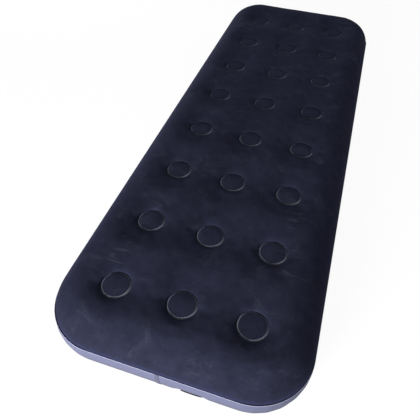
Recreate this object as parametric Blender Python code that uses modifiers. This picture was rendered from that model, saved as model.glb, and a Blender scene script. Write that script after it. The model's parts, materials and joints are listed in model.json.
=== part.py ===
"""A single air mattress with a flocked top, held flat by upright coil beams.

The frame has +Z up, +Y along the mattress to its head end and its origin on the
floor under the middle. Metres throughout. The valve is in the foot end wall.
"""

import math

import bmesh
import bpy
from mathutils import Matrix, Vector

# Outline of the inflated mattress
LENGTH = 1.88
WIDTH = 0.656
HEIGHT = 0.20
CORNER_RADIUS = 0.147
SHOULDER = 0.090

# Films that it is welded from, and the clearance that touching pieces keep
TOP_FILM = 0.0008
BOTTOM_FILM = 0.0008
WALL_FILM = 0.0006
COIL_FILM = 0.0006
GAP = 0.0003

# Dimples where the coil beams pull the top and bottom sheets together
COLUMNS = 3
ROWS = 8
SIDE_MARGIN = 0.1585
FOOT_MARGIN = 0.153
HEAD_MARGIN = 0.220
RING_DIAMETER = 0.077
DIMPLE_DEPTH = 0.018
DIMPLE_FADE = 0.045
SWELL_RADIUS = 0.058
FOOT_STRIP = 0.036

# Profile of the rounded sides, as angles above and below the widest line
TOP_SHOULDER_DEGREES = (63.0, 36.0)
TOP_EDGE_DEGREES = 8.6
WALL_DEGREES = (-5.0, -40.0)
BOTTOM_SHOULDER_DEGREES = (-68.0,)
BOTTOM_EDGE_DEGREES = -50.0
CORNER_CUTS = 3

# Seams between the wall band and the two sheets
TOP_LAP = 0.010
BOTTOM_LAP = 0.012
LAP_MARGIN = 0.002
TAPE_FILM = 0.0006
TAPE_WIDTH = 0.010
TAPE_X = -0.006

# Vents that let the air pass through each coil beam
COIL_SIDES = 12
VENT_DIAMETER = 0.014
VENT_SIDES = 8

# Valve: a welded socket, a screwed insert with its seal, a check poppet and a lid
VALVE_X = 0.072
SOCKET_FLANGE_DIAMETER = 0.054
SOCKET_FLANGE = 0.0012
SOCKET_BORE = 0.0306
SOCKET_WALL = 0.0024
SOCKET_DEPTH = 0.020
SEAL_WIDTH = 0.0042
SEAL_THICKNESS = 0.0006
INSERT_FLANGE_DIAMETER = 0.050
INSERT_FLANGE = 0.0012
THROAT_DIAMETER = 0.025
INSERT_DEPTH = 0.018
GRID_THICKNESS = 0.0016
GRID_HOLES = 6
GRID_HOLE_DIAMETER = 0.0048
GRID_HOLE_CIRCLE = 0.0170
STEM_DIAMETER = 0.0044
POPPET_DIAMETER = 0.0236
POPPET_THICKNESS = 0.0012
POPPET_TRAVEL = 0.004
BARB_DIAMETER = 0.0072
BARB_LENGTH = 0.002
LID_DIAMETER = 0.0490
LID_THICKNESS = 0.0012
STOPPER_DEPTH = 0.001
STOPPER_WALL = 0.0012
STOPPER_CLEARANCE = 0.0006
HINGE_REACH = 0.0023
HINGE_WIDTH = 0.012
TURNED_SIDES = 24
CUT_OVERRUN = 0.004
MERGE = 0.00001

# Places that follow from the sizes above
COLUMN_PITCH = (WIDTH - 2 * SIDE_MARGIN) / (COLUMNS - 1)
ROW_PITCH = (LENGTH - FOOT_MARGIN - HEAD_MARGIN) / (ROWS - 1)
ROW_SHIFT = (FOOT_MARGIN - HEAD_MARGIN) / 2
BORDER_X = WIDTH / 2 - SHOULDER
BORDER_Y = LENGTH / 2 - SHOULDER
CELL_LINE_X = COLUMN_PITCH * (COLUMNS / 2 - 1)
CELL_LINE_Y = ROW_PITCH * (ROWS / 2 - 1)
ARC_X = WIDTH / 2 - CORNER_RADIUS
ARC_Y = LENGTH / 2 - CORNER_RADIUS
RING_RADIUS = RING_DIAMETER / 2
LAP_CLEARANCE = WALL_FILM + GAP


def empty_scene():
    """Remove the objects that a new scene starts with, and name the collections."""
    for item in list(bpy.data.objects):
        bpy.data.objects.remove(item)
    homes = []
    for name in ("air_mattress", "cutters"):
        home = bpy.data.collections.new(name)
        bpy.context.scene.collection.children.link(home)
        homes.append(home)
    return homes


PARTS, CUTTERS = empty_scene()


def material(name, colour, roughness, metallic=0.0):
    """One Principled material in a sub-part's colour."""
    made = bpy.data.materials.new(name)
    made.use_nodes = True
    shader = made.node_tree.nodes["Principled BSDF"]
    shader.inputs["Base Color"].default_value = (*colour, 1.0)
    shader.inputs["Roughness"].default_value = roughness
    shader.inputs["Metallic"].default_value = metallic
    return made


FLOCK = material("navy_flock", (0.020, 0.021, 0.034), 0.95)
WALL_VINYL = material("wall_vinyl", (0.210, 0.215, 0.310), 0.42)
BASE_VINYL = material("base_vinyl", (0.036, 0.038, 0.058), 0.50)
COIL_VINYL = material("coil_vinyl", (0.420, 0.430, 0.480), 0.45)
VALVE_PLASTIC = material("valve_plastic", (0.018, 0.018, 0.024), 0.38)
VALVE_RUBBER = material("valve_rubber", (0.055, 0.055, 0.060), 0.70)


def add_object(name, mesh, finish=None, parent=None):
    """Put a mesh in the mattress collection as one named piece."""
    piece = bpy.data.objects.new(name, mesh)
    PARTS.objects.link(piece)
    if finish and not mesh.materials:
        mesh.materials.append(finish)
    piece.parent = parent
    return piece


def mesh_from(bm, name):
    """Turn a bmesh into a mesh and free it."""
    mesh = bpy.data.meshes.new(name)
    bm.to_mesh(mesh)
    bm.free()
    return mesh


def solidify(piece, thickness, offset=-1.0):
    """Give an open surface its thickness, inwards unless told otherwise."""
    shell = piece.modifiers.new("film", "SOLIDIFY")
    shell.thickness = thickness
    shell.offset = offset
    shell.use_even_offset = True
    return shell


def cut(piece, cutter, operation="DIFFERENCE"):
    """Cut a piece by a cutter, or join the cutter to it, with an exact Boolean."""
    step = piece.modifiers.new(cutter.name, "BOOLEAN")
    step.operation = operation
    step.solver = "EXACT"
    step.object = cutter


def hide_cutter(name, mesh, parent=None):
    """Keep a cutter as a wire in the cutters' collection."""
    cutter = bpy.data.objects.new(name, mesh)
    CUTTERS.objects.link(cutter)
    cutter.parent = parent
    cutter.hide_render = True
    cutter.display_type = "WIRE"
    return cutter


def cylinder_mesh(name, sides, diameter, bottom, top, capped=True):
    """An upright cylinder between two heights."""
    bm = bmesh.new()
    bmesh.ops.create_cone(
        bm, cap_ends=capped, segments=sides, radius1=diameter / 2, radius2=diameter / 2,
        depth=top - bottom, matrix=Matrix.Translation((0, 0, (top + bottom) / 2)),
    )
    return mesh_from(bm, name)


def box_mesh(name, low, high):
    """A box between two corners."""
    bm = bmesh.new()
    low, high = Vector(low), Vector(high)
    place = Matrix.Translation((low + high) / 2) @ Matrix.Diagonal((*(high - low), 1))
    bmesh.ops.create_cube(bm, size=1, matrix=place)
    return mesh_from(bm, name)


def turned(name, profile, finish, parent):
    """Turn a closed profile of (radius, height) points round the parent's Z axis."""
    bm = bmesh.new()
    points = [bm.verts.new((radius, 0, height)) for radius, height in profile]
    for first, second in zip(points, points[1:] + points[:1]):
        bm.edges.new((first, second))
    piece = add_object(name, mesh_from(bm, name), finish, parent)
    spin = piece.modifiers.new("turn", "SCREW")
    spin.steps = spin.render_steps = TURNED_SIDES
    spin.use_merge_vertices = True
    spin.merge_threshold = MERGE
    return piece


def dimple_centres():
    """Centres of the dimples, one for each coil beam, from the foot end's left."""
    for row in range(ROWS):
        for column in range(COLUMNS):
            x = (column - (COLUMNS - 1) / 2) * COLUMN_PITCH
            y = (row - (ROWS - 1) / 2) * ROW_PITCH + ROW_SHIFT
            yield row, column, Vector((x, y, 0))


def lift(x, y):
    """How far the sheet has risen out of the dimples at a place, 0 in a ring."""
    risen = 1.0
    for _, _, centre in dimple_centres():
        away = max(0.0, math.hypot(x - centre.x, y - centre.y) - RING_RADIUS)
        risen *= 1 - math.exp(-away / DIMPLE_FADE)
    return risen


CROWN_LIFT = lift(CELL_LINE_X, CELL_LINE_Y + ROW_SHIFT)


def drop(x, y):
    """Depth of the sheet's surface below the crowns between the dimples."""
    return DIMPLE_DEPTH * (1 - min(1.0, lift(x, y) / CROWN_LIFT))


def end_line(y):
    """Distance from the middle to the last line between rows, at the end y is in."""
    return CELL_LINE_Y + math.copysign(1, y) * ROW_SHIFT


def corner_direction(sign_x, sign_y, turn):
    """Outward direction at a share of a corner's quarter turn, from the side."""
    angle = turn * math.pi / 2
    return Vector((sign_x * math.cos(angle), sign_y * math.sin(angle), 0))


def outline_station(x, y):
    """Foot and outward direction of a border point of a sheet's grid.

    The outline at any inset is foot + direction * (CORNER_RADIUS - inset). The
    points of a corner cell's outer edges share out the corner's quarter turn.
    """
    sign_x, sign_y = math.copysign(1, x), math.copysign(1, y)
    steps_x = round((abs(x) - CELL_LINE_X) / (BORDER_X - CELL_LINE_X) * (CORNER_CUTS + 1))
    steps_y = round((abs(y) - end_line(y)) / (BORDER_Y - end_line(y)) * (CORNER_CUTS + 1))
    at_side = steps_x > CORNER_CUTS
    if steps_x < 1 or steps_y < 1:
        if at_side:
            return Vector((sign_x * ARC_X, y, 0)), Vector((sign_x, 0, 0))
        return Vector((x, sign_y * ARC_Y, 0)), Vector((0, sign_y, 0))
    turn = (steps_y - 1) / (2 * CORNER_CUTS)
    if not at_side:
        turn = 1 - (steps_x - 1) / (2 * CORNER_CUTS)
    foot = Vector((sign_x * ARC_X, sign_y * ARC_Y, 0))
    return foot, corner_direction(sign_x, sign_y, turn)


def ellipse(degrees, reach):
    """A point of the rounded side as (inset from the edge, height)."""
    angle = math.radians(degrees)
    return Vector((SHOULDER - reach * math.cos(angle), HEIGHT / 2 * (1 + math.sin(angle))))


def sheet_profile(degrees_list):
    """Points of a sheet's rounded side, which stays inside the wall band."""
    return [ellipse(degrees, SHOULDER - LAP_CLEARANCE) for degrees in degrees_list]


TOP_PROFILE = sheet_profile((*TOP_SHOULDER_DEGREES, TOP_EDGE_DEGREES))
BOTTOM_PROFILE = sheet_profile((*BOTTOM_SHOULDER_DEGREES, BOTTOM_EDGE_DEGREES))


def grid_lines(count, pitch, shift, border, strip):
    """Places of a grid's lines one way: the borders, and one or two between dimples."""
    lines = [-border]
    for number in range(1, count):
        middle = (number - count / 2) * pitch + shift
        lines += [middle - strip / 2, middle + strip / 2] if strip else [middle]
    return [*lines, border]


def sheet_grid(strip):
    """A flat grid with a cell round each dimple, and flat strips between the rows."""
    across = grid_lines(COLUMNS, COLUMN_PITCH, 0, BORDER_X, 0)
    along = grid_lines(ROWS, ROW_PITCH, ROW_SHIFT, BORDER_Y, strip)
    bm = bmesh.new()
    bmesh.ops.create_grid(bm, x_segments=len(across) - 1, y_segments=len(along) - 1, size=1)
    for vert in bm.verts:
        vert.co.x = across[round((vert.co.x + 1) / 2 * (len(across) - 1))]
        vert.co.y = along[round((vert.co.y + 1) / 2 * (len(along) - 1))]
    return bm


def cut_cell_edges(bm, strip):
    """Add points to the cells' edges, so that each cell can hold a ring."""
    for edge in list(bm.edges):
        middle = (edge.verts[0].co + edge.verts[1].co) / 2
        along = edge.verts[1].co - edge.verts[0].co
        beside_corner = abs(middle.x) > CELL_LINE_X and abs(middle.y) > end_line(middle.y) + strip
        across_strip = strip and abs(abs(along.y) - strip) < MERGE
        cuts = 1
        if edge.is_boundary:
            cuts = CORNER_CUTS if beside_corner else 0
        elif across_strip:
            cuts = 0
        if cuts:
            bmesh.ops.bisect_edges(bm, edges=[edge], cuts=cuts)


def ring_in(bm, face, centre, radius):
    """Inset a face and spread its corners evenly on a circle in the dimple."""
    step = 2 * math.pi / len(face.verts)
    angles = [math.atan2(v.co.y - centre.y, v.co.x - centre.x) for v in face.verts]
    sines = sum(math.sin(angle - step * i) for i, angle in enumerate(angles))
    cosines = sum(math.cos(angle - step * i) for i, angle in enumerate(angles))
    start = math.atan2(sines, cosines)
    bmesh.ops.inset_individual(bm, faces=[face], thickness=0, use_even_offset=False)
    for i, vert in enumerate(face.verts):
        angle = start + step * i
        vert.co = centre + radius * Vector((math.cos(angle), math.sin(angle), 0))


def place(vert, station, inset, height):
    """Put a border point on the outline at an inset and a height."""
    foot, direction = station
    vert.co = foot + direction * (CORNER_RADIUS - inset)
    vert.co.z = height


def grow_side(bm, border, stations, profile):
    """Extrude a border through the points of a profile of (inset, height)."""
    for inset, height in profile:
        grown = bmesh.ops.extrude_edge_only(bm, edges=border)["geom"]
        fresh = {item for item in grown if isinstance(item, bmesh.types.BMVert)}
        edges = [item for item in grown if isinstance(item, bmesh.types.BMEdge)]
        border = [edge for edge in edges if fresh.issuperset(edge.verts)]
        moved = {}
        for vert in fresh:
            source = next(e.other_vert(vert) for e in vert.link_edges if e.other_vert(vert) in stations)
            moved[vert] = stations[source]
            place(vert, moved[vert], inset, height)
        stations = moved


def tufted_sheet(name, finish, film, profile, rings, side, strip):
    """A sheet with its dimples and its rounded side, side 1 on top and -1 below."""
    bm = sheet_grid(strip)
    cut_cell_edges(bm, strip)
    cells = {}
    for _, _, centre in dimple_centres():
        cells[min(bm.faces, key=lambda f: (f.calc_center_bounds() - centre).length)] = centre
    flat = {vert for face in bm.faces if face not in cells for vert in face.verts}
    for radius in rings:
        for face, centre in cells.items():
            ring_in(bm, face, centre, radius)

    border = [edge for edge in bm.edges if edge.is_boundary]
    stations = {v: outline_station(v.co.x, v.co.y) for edge in border for v in edge.verts}
    for vert, station in stations.items():
        place(vert, station, SHOULDER, 0)
    for vert in bm.verts:
        deep = 0 if vert in flat else drop(vert.co.x, vert.co.y)
        vert.co.z = HEIGHT - deep if side > 0 else deep
    grow_side(bm, border, stations, profile)
    if side < 0:
        bmesh.ops.reverse_faces(bm, faces=bm.faces)
    piece = add_object(name, mesh_from(bm, name), finish)
    solidify(piece, film)


def lap_line(inner, edge, lap):
    """Wall points that run along a sheet's last stretch, clear of its outer face."""
    along = (edge - inner).normalized()
    outward = Vector((-abs(along.y), abs(along.x) * math.copysign(1, inner.y - edge.y)))
    clear = outward * LAP_CLEARANCE
    return edge - along * lap + clear, edge + along * LAP_MARGIN + clear


def wall_profile():
    """The wall band's outer face from its top edge down, as (inset, height)."""
    top = lap_line(TOP_PROFILE[-2], TOP_PROFILE[-1], TOP_LAP)
    bottom = lap_line(BOTTOM_PROFILE[-2], BOTTOM_PROFILE[-1], BOTTOM_LAP)
    middle = [ellipse(degrees, SHOULDER) for degrees in WALL_DEGREES]
    return [*top, *middle, *reversed(bottom)]


WALL_PROFILE = wall_profile()


def side_wall():
    """The band that runs round all four sides, lapped over both sheets."""
    corner = []
    for sign_x, sign_y in ((1, 1), (-1, 1), (-1, -1), (1, -1)):
        turns = [step / (2 * CORNER_CUTS) for step in range(2 * CORNER_CUTS + 1)]
        if sign_x != sign_y:
            turns.reverse()
        foot = Vector((sign_x * ARC_X, sign_y * ARC_Y, 0))
        corner += [(foot, corner_direction(sign_x, sign_y, turn)) for turn in turns]
    bm = bmesh.new()
    bmesh.ops.create_circle(bm, segments=len(corner), radius=1)
    stations = dict(zip(bm.verts, corner))
    for vert, station in stations.items():
        place(vert, station, *WALL_PROFILE[0])
    grow_side(bm, list(bm.edges), stations, WALL_PROFILE[1:])
    bmesh.ops.recalc_face_normals(bm, faces=bm.faces)
    piece = add_object("side_wall", mesh_from(bm, "side_wall"), WALL_VINYL)
    solidify(piece, WALL_FILM)
    return piece


def seam_tape():
    """The welded tape over the joint in the wall band, at the foot end."""
    bm = bmesh.new()
    points = []
    for inset, height in WALL_PROFILE:
        points.append(bm.verts.new((TAPE_X - TAPE_WIDTH / 2, inset - LENGTH / 2, height)))
    edges = [bm.edges.new(pair) for pair in zip(points, points[1:])]
    grown = bmesh.ops.extrude_edge_only(bm, edges=edges)["geom"]
    fresh = [item for item in grown if isinstance(item, bmesh.types.BMVert)]
    bmesh.ops.translate(bm, verts=fresh, vec=(TAPE_WIDTH, 0, 0))
    for face in bm.faces:
        face.normal_update()
        if face.normal.y > 0:
            face.normal_flip()
    piece = add_object("wall_seam_tape", mesh_from(bm, "wall_seam_tape"), WALL_VINYL)
    solidify(piece, TAPE_FILM, 1 + 2 * GAP / TAPE_FILM)
    return piece


def coil_beams():
    """Upright tubes between the rings of the two sheets, vented on both sides."""
    bottom = DIMPLE_DEPTH + BOTTOM_FILM + GAP
    top = HEIGHT - DIMPLE_DEPTH - TOP_FILM - GAP
    tube = cylinder_mesh("coil_tube", COIL_SIDES, RING_DIAMETER, bottom, top, capped=False)
    pattern = add_object("coil_pattern", tube, COIL_VINYL)
    solidify(pattern, COIL_FILM)
    reach = RING_DIAMETER / 2 + CUT_OVERRUN
    vent = hide_cutter("coil_vent", cylinder_mesh("vent", VENT_SIDES, VENT_DIAMETER, -reach, reach))
    across = Matrix.Rotation(math.pi / 2, 4, "Y")
    facing = Matrix.Rotation(math.pi / COIL_SIDES, 4, "Z")
    vent.matrix_world = Matrix.Translation((0, 0, (bottom + top) / 2)) @ facing @ across
    cut(pattern, vent)
    bpy.context.view_layer.update()
    ready = pattern.evaluated_get(bpy.context.evaluated_depsgraph_get())
    shared = bpy.data.meshes.new_from_object(ready)
    bpy.data.objects.remove(pattern)
    for row, column, centre in dimple_centres():
        beam = add_object(f"coil_beam_row{row + 1}_col{column + 1}", shared)
        beam.location = centre


def valve_axis():
    """An empty on the wall's outer face, its Z axis pointing out of the valve."""
    upper, lower = WALL_PROFILE[2], WALL_PROFILE[3]
    middle = (upper + lower) / 2
    slope = math.atan2(lower.x - upper.x, upper.y - lower.y)
    axis = bpy.data.objects.new("valve_axis", None)
    PARTS.objects.link(axis)
    axis.location = (VALVE_X, middle.x - LENGTH / 2, middle.y)
    axis.rotation_euler = (math.pi / 2 + slope, 0, 0)
    return axis


# Heights of the valve's pieces above the wall's outer face, along the valve's axis
SOCKET_TOP = -WALL_FILM - GAP
SEAL_BOTTOM = SOCKET_TOP + GAP
SEAL_TOP = SEAL_BOTTOM + SEAL_THICKNESS
INSERT_BOTTOM = SEAL_TOP + GAP
INSERT_TOP = INSERT_BOTTOM + INSERT_FLANGE
LID_BOTTOM = INSERT_TOP + GAP
LID_TOP = LID_BOTTOM + LID_THICKNESS
GRID_TOP = INSERT_TOP - INSERT_DEPTH
GRID_BOTTOM = GRID_TOP - GRID_THICKNESS
INSERT_RADIUS = SOCKET_BORE / 2 - GAP
HINGE_LINE = INSERT_FLANGE_DIAMETER / 2 + HINGE_REACH


def valve_socket(axis):
    """The housing welded inside the wall, with the bore that the insert screws into."""
    bore = SOCKET_BORE / 2
    tube = bore + SOCKET_WALL
    flange = SOCKET_FLANGE_DIAMETER / 2
    profile = [
        (bore, SOCKET_TOP), (flange, SOCKET_TOP), (flange, SOCKET_TOP - SOCKET_FLANGE),
        (tube, SOCKET_TOP - SOCKET_FLANGE), (tube, -SOCKET_DEPTH), (bore, -SOCKET_DEPTH),
    ]
    turned("valve_socket", profile, VALVE_PLASTIC, axis)


def wall_hole(wall, axis):
    """The hole in the wall band that the seal and the insert pass through."""
    width = SOCKET_BORE + 2 * (SEAL_WIDTH + 2 * GAP)
    mesh = cylinder_mesh("hole", TURNED_SIDES, width, -CUT_OVERRUN, CUT_OVERRUN)
    cut(wall, hide_cutter("valve_hole", mesh, axis))


def insert_seal(axis):
    """The rubber washer under the insert's flange."""
    inner = SOCKET_BORE / 2
    outer = inner + SEAL_WIDTH
    profile = [(inner, SEAL_TOP), (outer, SEAL_TOP), (outer, SEAL_BOTTOM), (inner, SEAL_BOTTOM)]
    turned("insert_seal", profile, VALVE_RUBBER, axis)


def valve_insert(axis):
    """The screwed insert: a throat for the pump, a grid at its end and a hinge tab."""
    flange = INSERT_FLANGE_DIAMETER / 2
    throat = THROAT_DIAMETER / 2
    guide = STEM_DIAMETER / 2 + GAP
    profile = [
        (throat, INSERT_TOP), (flange, INSERT_TOP), (flange, INSERT_BOTTOM),
        (INSERT_RADIUS, INSERT_BOTTOM), (INSERT_RADIUS, GRID_BOTTOM), (guide, GRID_BOTTOM),
        (guide, GRID_TOP), (throat, GRID_TOP),
    ]
    insert = turned("valve_insert", profile, VALVE_PLASTIC, axis)
    start = (flange + throat) / 2
    tab = box_mesh("tab", (start, -HINGE_WIDTH / 2, INSERT_BOTTOM),
                   (HINGE_LINE, HINGE_WIDTH / 2, INSERT_TOP))
    cut(insert, hide_cutter("insert_tab", tab, axis), "UNION")
    for number in range(GRID_HOLES):
        hole = cylinder_mesh(
            "grid_hole", VENT_SIDES, GRID_HOLE_DIAMETER,
            GRID_BOTTOM - CUT_OVERRUN / 2, GRID_TOP + CUT_OVERRUN / 2,
        )
        cutter = hide_cutter(f"grid_hole_{number + 1}", hole, axis)
        angle = 2 * math.pi * number / GRID_HOLES
        cutter.location = (
            GRID_HOLE_CIRCLE / 2 * math.cos(angle), GRID_HOLE_CIRCLE / 2 * math.sin(angle), 0,
        )
        cut(insert, cutter)


def check_poppet(axis):
    """The rubber disc that closes the grid from inside, on a barbed stem."""
    face = GRID_BOTTOM - GAP
    disc = POPPET_DIAMETER / 2
    stem = STEM_DIAMETER / 2
    barb = BARB_DIAMETER / 2
    barb_bottom = GRID_TOP + GAP + POPPET_TRAVEL
    profile = [
        (0, barb_bottom + BARB_LENGTH), (stem, barb_bottom + BARB_LENGTH), (barb, barb_bottom),
        (stem, barb_bottom), (stem, face), (disc, face), (disc, face - POPPET_THICKNESS),
        (0, face - POPPET_THICKNESS),
    ]
    turned("check_poppet", profile, VALVE_RUBBER, axis)


def valve_lid(axis):
    """The lid that snaps over the throat, with its stopper ring and hinge tab."""
    outer = LID_DIAMETER / 2
    stopper = THROAT_DIAMETER / 2 - STOPPER_CLEARANCE
    inner = stopper - STOPPER_WALL
    stopper_end = INSERT_TOP - STOPPER_DEPTH
    profile = [
        (0, LID_TOP), (outer, LID_TOP), (outer, LID_BOTTOM), (stopper, LID_BOTTOM),
        (stopper, stopper_end), (inner, stopper_end), (inner, LID_BOTTOM), (0, LID_BOTTOM),
    ]
    hinge = bpy.data.objects.new("lid_hinge", None)
    PARTS.objects.link(hinge)
    hinge.parent = axis
    hinge.location = (HINGE_LINE, 0, INSERT_TOP + GAP / 2)
    lid = turned("valve_lid", profile, VALVE_PLASTIC, hinge)
    lid.matrix_parent_inverse = Matrix.Translation(-Vector(hinge.location))
    tab = box_mesh("tab", (stopper, -HINGE_WIDTH / 2, LID_BOTTOM),
                   (HINGE_LINE - GAP, HINGE_WIDTH / 2, LID_TOP))
    cut(lid, hide_cutter("lid_tab", tab, axis), "UNION")


def build_mattress():
    """Make every piece in its place."""
    tufted_sheet("top_sheet", FLOCK, TOP_FILM, TOP_PROFILE, (SWELL_RADIUS, RING_RADIUS), 1, 0)
    tufted_sheet("bottom_sheet", BASE_VINYL, BOTTOM_FILM, BOTTOM_PROFILE, (RING_RADIUS,), -1, FOOT_STRIP)
    wall = side_wall()
    seam_tape()
    coil_beams()
    axis = valve_axis()
    wall_hole(wall, axis)
    valve_socket(axis)
    insert_seal(axis)
    valve_insert(axis)
    check_poppet(axis)
    valve_lid(axis)


build_mattress()
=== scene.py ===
"""Looks of a single air mattress, laid out as an add-on and run as a script.

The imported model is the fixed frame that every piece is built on. Metres, with +Z up
and +Y along the mattress to its head end. The valve is in the foot end's wall.
"""

import json
import math

import bmesh
import bpy
import numpy as np
from bpy.props import FloatProperty, FloatVectorProperty, IntProperty, PointerProperty
from mathutils import Matrix, Vector, noise


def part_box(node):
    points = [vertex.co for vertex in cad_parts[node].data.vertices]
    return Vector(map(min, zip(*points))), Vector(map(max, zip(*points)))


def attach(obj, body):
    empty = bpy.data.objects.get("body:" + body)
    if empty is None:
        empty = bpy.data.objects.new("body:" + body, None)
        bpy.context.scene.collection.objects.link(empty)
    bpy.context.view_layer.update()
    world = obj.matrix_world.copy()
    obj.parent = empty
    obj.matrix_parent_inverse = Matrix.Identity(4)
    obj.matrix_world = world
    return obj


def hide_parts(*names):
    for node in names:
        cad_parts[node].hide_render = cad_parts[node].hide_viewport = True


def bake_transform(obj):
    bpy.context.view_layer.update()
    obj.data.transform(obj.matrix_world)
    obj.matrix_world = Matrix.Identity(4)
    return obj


bl_info = {
    "name": "Air Mattress Looks",
    "version": (1, 0, 0),
    "blender": (4, 5, 0),
    "location": "View3D > Sidebar > Air Mattress",
    "description": "Flocked top, vinyl wall, coil beams and valve of a single air mattress",
    "category": "Object",
}

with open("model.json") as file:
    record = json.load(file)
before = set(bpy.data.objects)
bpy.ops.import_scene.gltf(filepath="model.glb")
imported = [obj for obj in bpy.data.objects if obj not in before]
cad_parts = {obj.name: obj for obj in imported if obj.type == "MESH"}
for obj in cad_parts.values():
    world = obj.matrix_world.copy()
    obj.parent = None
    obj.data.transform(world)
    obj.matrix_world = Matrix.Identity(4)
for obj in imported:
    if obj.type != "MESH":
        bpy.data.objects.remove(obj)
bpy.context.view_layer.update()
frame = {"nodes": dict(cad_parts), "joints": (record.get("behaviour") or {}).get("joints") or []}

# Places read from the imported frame
WALL_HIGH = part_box("side_wall")[1]
HALF_WIDTH, HALF_LENGTH = WALL_HIGH.x, WALL_HIGH.y
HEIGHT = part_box("top_sheet")[1].z
BEAM_NODES = sorted(name for name in frame["nodes"] if name.startswith("coil_beam"))
BEAM_BOXES = [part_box(name) for name in BEAM_NODES]
DIMPLES = np.array([((low + high) / 2)[:2] for low, high in BEAM_BOXES])
RING_RADIUS = (BEAM_BOXES[0][1].x - BEAM_BOXES[0][0].x) / 2
BEAM_BOTTOM, BEAM_TOP = BEAM_BOXES[0][0].z, BEAM_BOXES[0][1].z
COLUMN_PLACES = sorted({round(float(x), 4) for x in DIMPLES[:, 0]})
ROW_PLACES = sorted({round(float(y), 4) for y in DIMPLES[:, 1]})
JOINTS = {joint["name"]: joint for joint in frame["joints"]}
VALVE_PLACE = Vector(JOINTS["insert_turn"]["pos_m"])
VALVE_OUT = Vector(JOINTS["insert_turn"]["axis"]).normalized()
VALVE_UP = VALVE_OUT.cross(Vector((1, 0, 0)))
VALVE_TURN = Matrix((Vector((1, 0, 0)), VALVE_UP, VALVE_OUT)).transposed().to_4x4()
VALVE = Matrix.Translation(VALVE_PLACE) @ VALVE_TURN
HINGE = VALVE.inverted() @ Vector(JOINTS["lid_hinge"]["pos_m"])

# Loops of the films: points along a cell's side, shares of the way from a cell's border
# to its dimple, steps beside the weld ring, and shares of the ring's radius inside it
CELL_POINTS = 7
LOFT_SHARES = (0.24, 0.47, 0.69, 0.87)
WELD_STEPS = (0.016, 0.007, 0.0020, 0.0002, -0.0016, -0.0034, -0.0054, -0.009)
DISC_SHARES = (0.62, 0.40, 0.20)

# Angles on the rounded side, in degrees: 90 is the flat film, 0 the widest line. Between
# the two tucked angles a film leaves the wall's edge that it tucks in under.
SIDE_ANGLES = (80, 70, 60, 50, 41, 33, 26, 21, 17.5, 14.5, 8.6)
SIDE_TUCKED = (13.5, 21.0)
BASE_SIDE_ANGLES = (80, 74, 68, 63, 59.5, 57, 53, 49)
BASE_SIDE_TUCKED = (57.0, 62.0)
WALL_TOP, WALL_LOW = 14.3, -57.3

# Grids of the wall band and its tape
BAND_SPACING = 0.0052
BAND_LIP_DROPS = (0, 0.5, 1.1, 1.9, 3.0, 4.4)
BAND_FOOT_RISES = (3.0, 1.6, 0.7, 0)
BAND_MIDDLE_ROWS = 17
TAPE_COLUMNS, TAPE_ROWS = 7, 34

# Cloth simulation of the film under pressure
CLOTH_FRAMES = 20
CLOTH_PRESSURE = 6.0
CLOTH_SHRINK = -0.008
CLOTH_STIFFNESS, CLOTH_SHEAR, CLOTH_BENDING = 30, 10, 0.2

# Starting numbers of the noise, so that each run gives the same film
TOP_SEED, BASE_SEED, PUCKER_SEED = 3.0, 21.0, 11
WORN_SEED, WALL_SEED, FOLD_SEED = 8.0, 31.0, 35.0

# Distances under which points are merged, angles over which an edge stays sharp, sides
# of the valve's round pieces, and half the width of the hinge tabs' clear strip
FILM_MERGE, VALVE_MERGE = 0.00002, 0.00001
FILM_SHARP, VALVE_SHARP = 55, 38
VALVE_SIDES = 96
TAB_STRIP = 0.0065

# Floor: its side, its drop below the mattress, and how strongly and how far it glows
FLOOR_SIZE, FLOOR_DROP = 40, 0.0004
FLOOR_GLOW, FLOOR_GLOW_SHARE = 1.17, 0.80

MADE = {}


def length(name, metres, description):
    """A length that a user may change."""
    return FloatProperty(name=name, description=description, default=metres, min=0.0,
                         unit="LENGTH", precision=5)


def colour(name, value, description):
    """A colour that a user may change, as linear light."""
    return FloatVectorProperty(name=name, description=description, default=value,
                               subtype="COLOR", size=3, min=0.0, max=1.0)


class MattressForm(bpy.types.PropertyGroup):
    """Sizes of the inflated films"""
    corner_radius: length("Corner Radius", 0.147, "Radius of the outline's corners")
    shoulder: length("Shoulder", 0.090, "How far in from the edge the top starts to round")
    film: length("Film", 0.0006, "Thickness of the welded films")
    clearance: length("Clearance", 0.0011, "Film and gap between a beam's end and the crown")
    fade: length("Dimple Fade", 0.045, "How fast the film rises away from a weld ring")
    dome: length("Disc Dome", 0.0040, "How far the disc inside a weld ring bulges")
    step: length("Disc Step", 0.0024, "Height of the disc's edge above its weld ring")
    brow: length("Film Brow", 0.0045, "Height of the film's edge round a weld ring")
    brow_fade: length("Brow Fade", 0.045, "How far out from a weld ring the brow has faded")
    weld_width: length("Weld Width", 0.0042, "Width of the pressed weld ring")
    weld_press: length("Weld Press", 0.0007, "Depth that the weld ring is pressed in")
    pucker: length("Pucker", 0.0007, "Height of the puckers round a weld ring")
    swell: length("Swell", 0.0016, "Height of the slow waves in the tight film")
    cloth: length("Cloth Spacing", 0.008, "Spacing of the grid that pressure lifts")
    cap: length("Cloth Limit", 0.006, "How far pressure may move the film")
    lap: length("Lap Clearance", 0.0012, "How far a film tucks in under the wall's edge")
    gap: length("Gap", 0.0003, "Clearance between pieces that touch")
    lip: length("Wall Lip", 0.0009, "How far the band's welded edge stands out")
    wall_swell: length("Wall Swell", 0.0010, "Height of the slow waves in the wall band")
    wall_fold: length("Wall Fold", 0.0007, "Height of the upright folds at the corners")
    fold: length("Fold Spacing", 0.034, "Distance between the folds at the corners")
    flat_near: length("Valve Flat", 0.027, "Radius of the flat round the valve")
    flat_far: length("Valve Blend", 0.046, "Radius where the flat has faded out")
    vent: length("Vent", 0.007, "Radius of the vents in the coil tubes")


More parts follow.
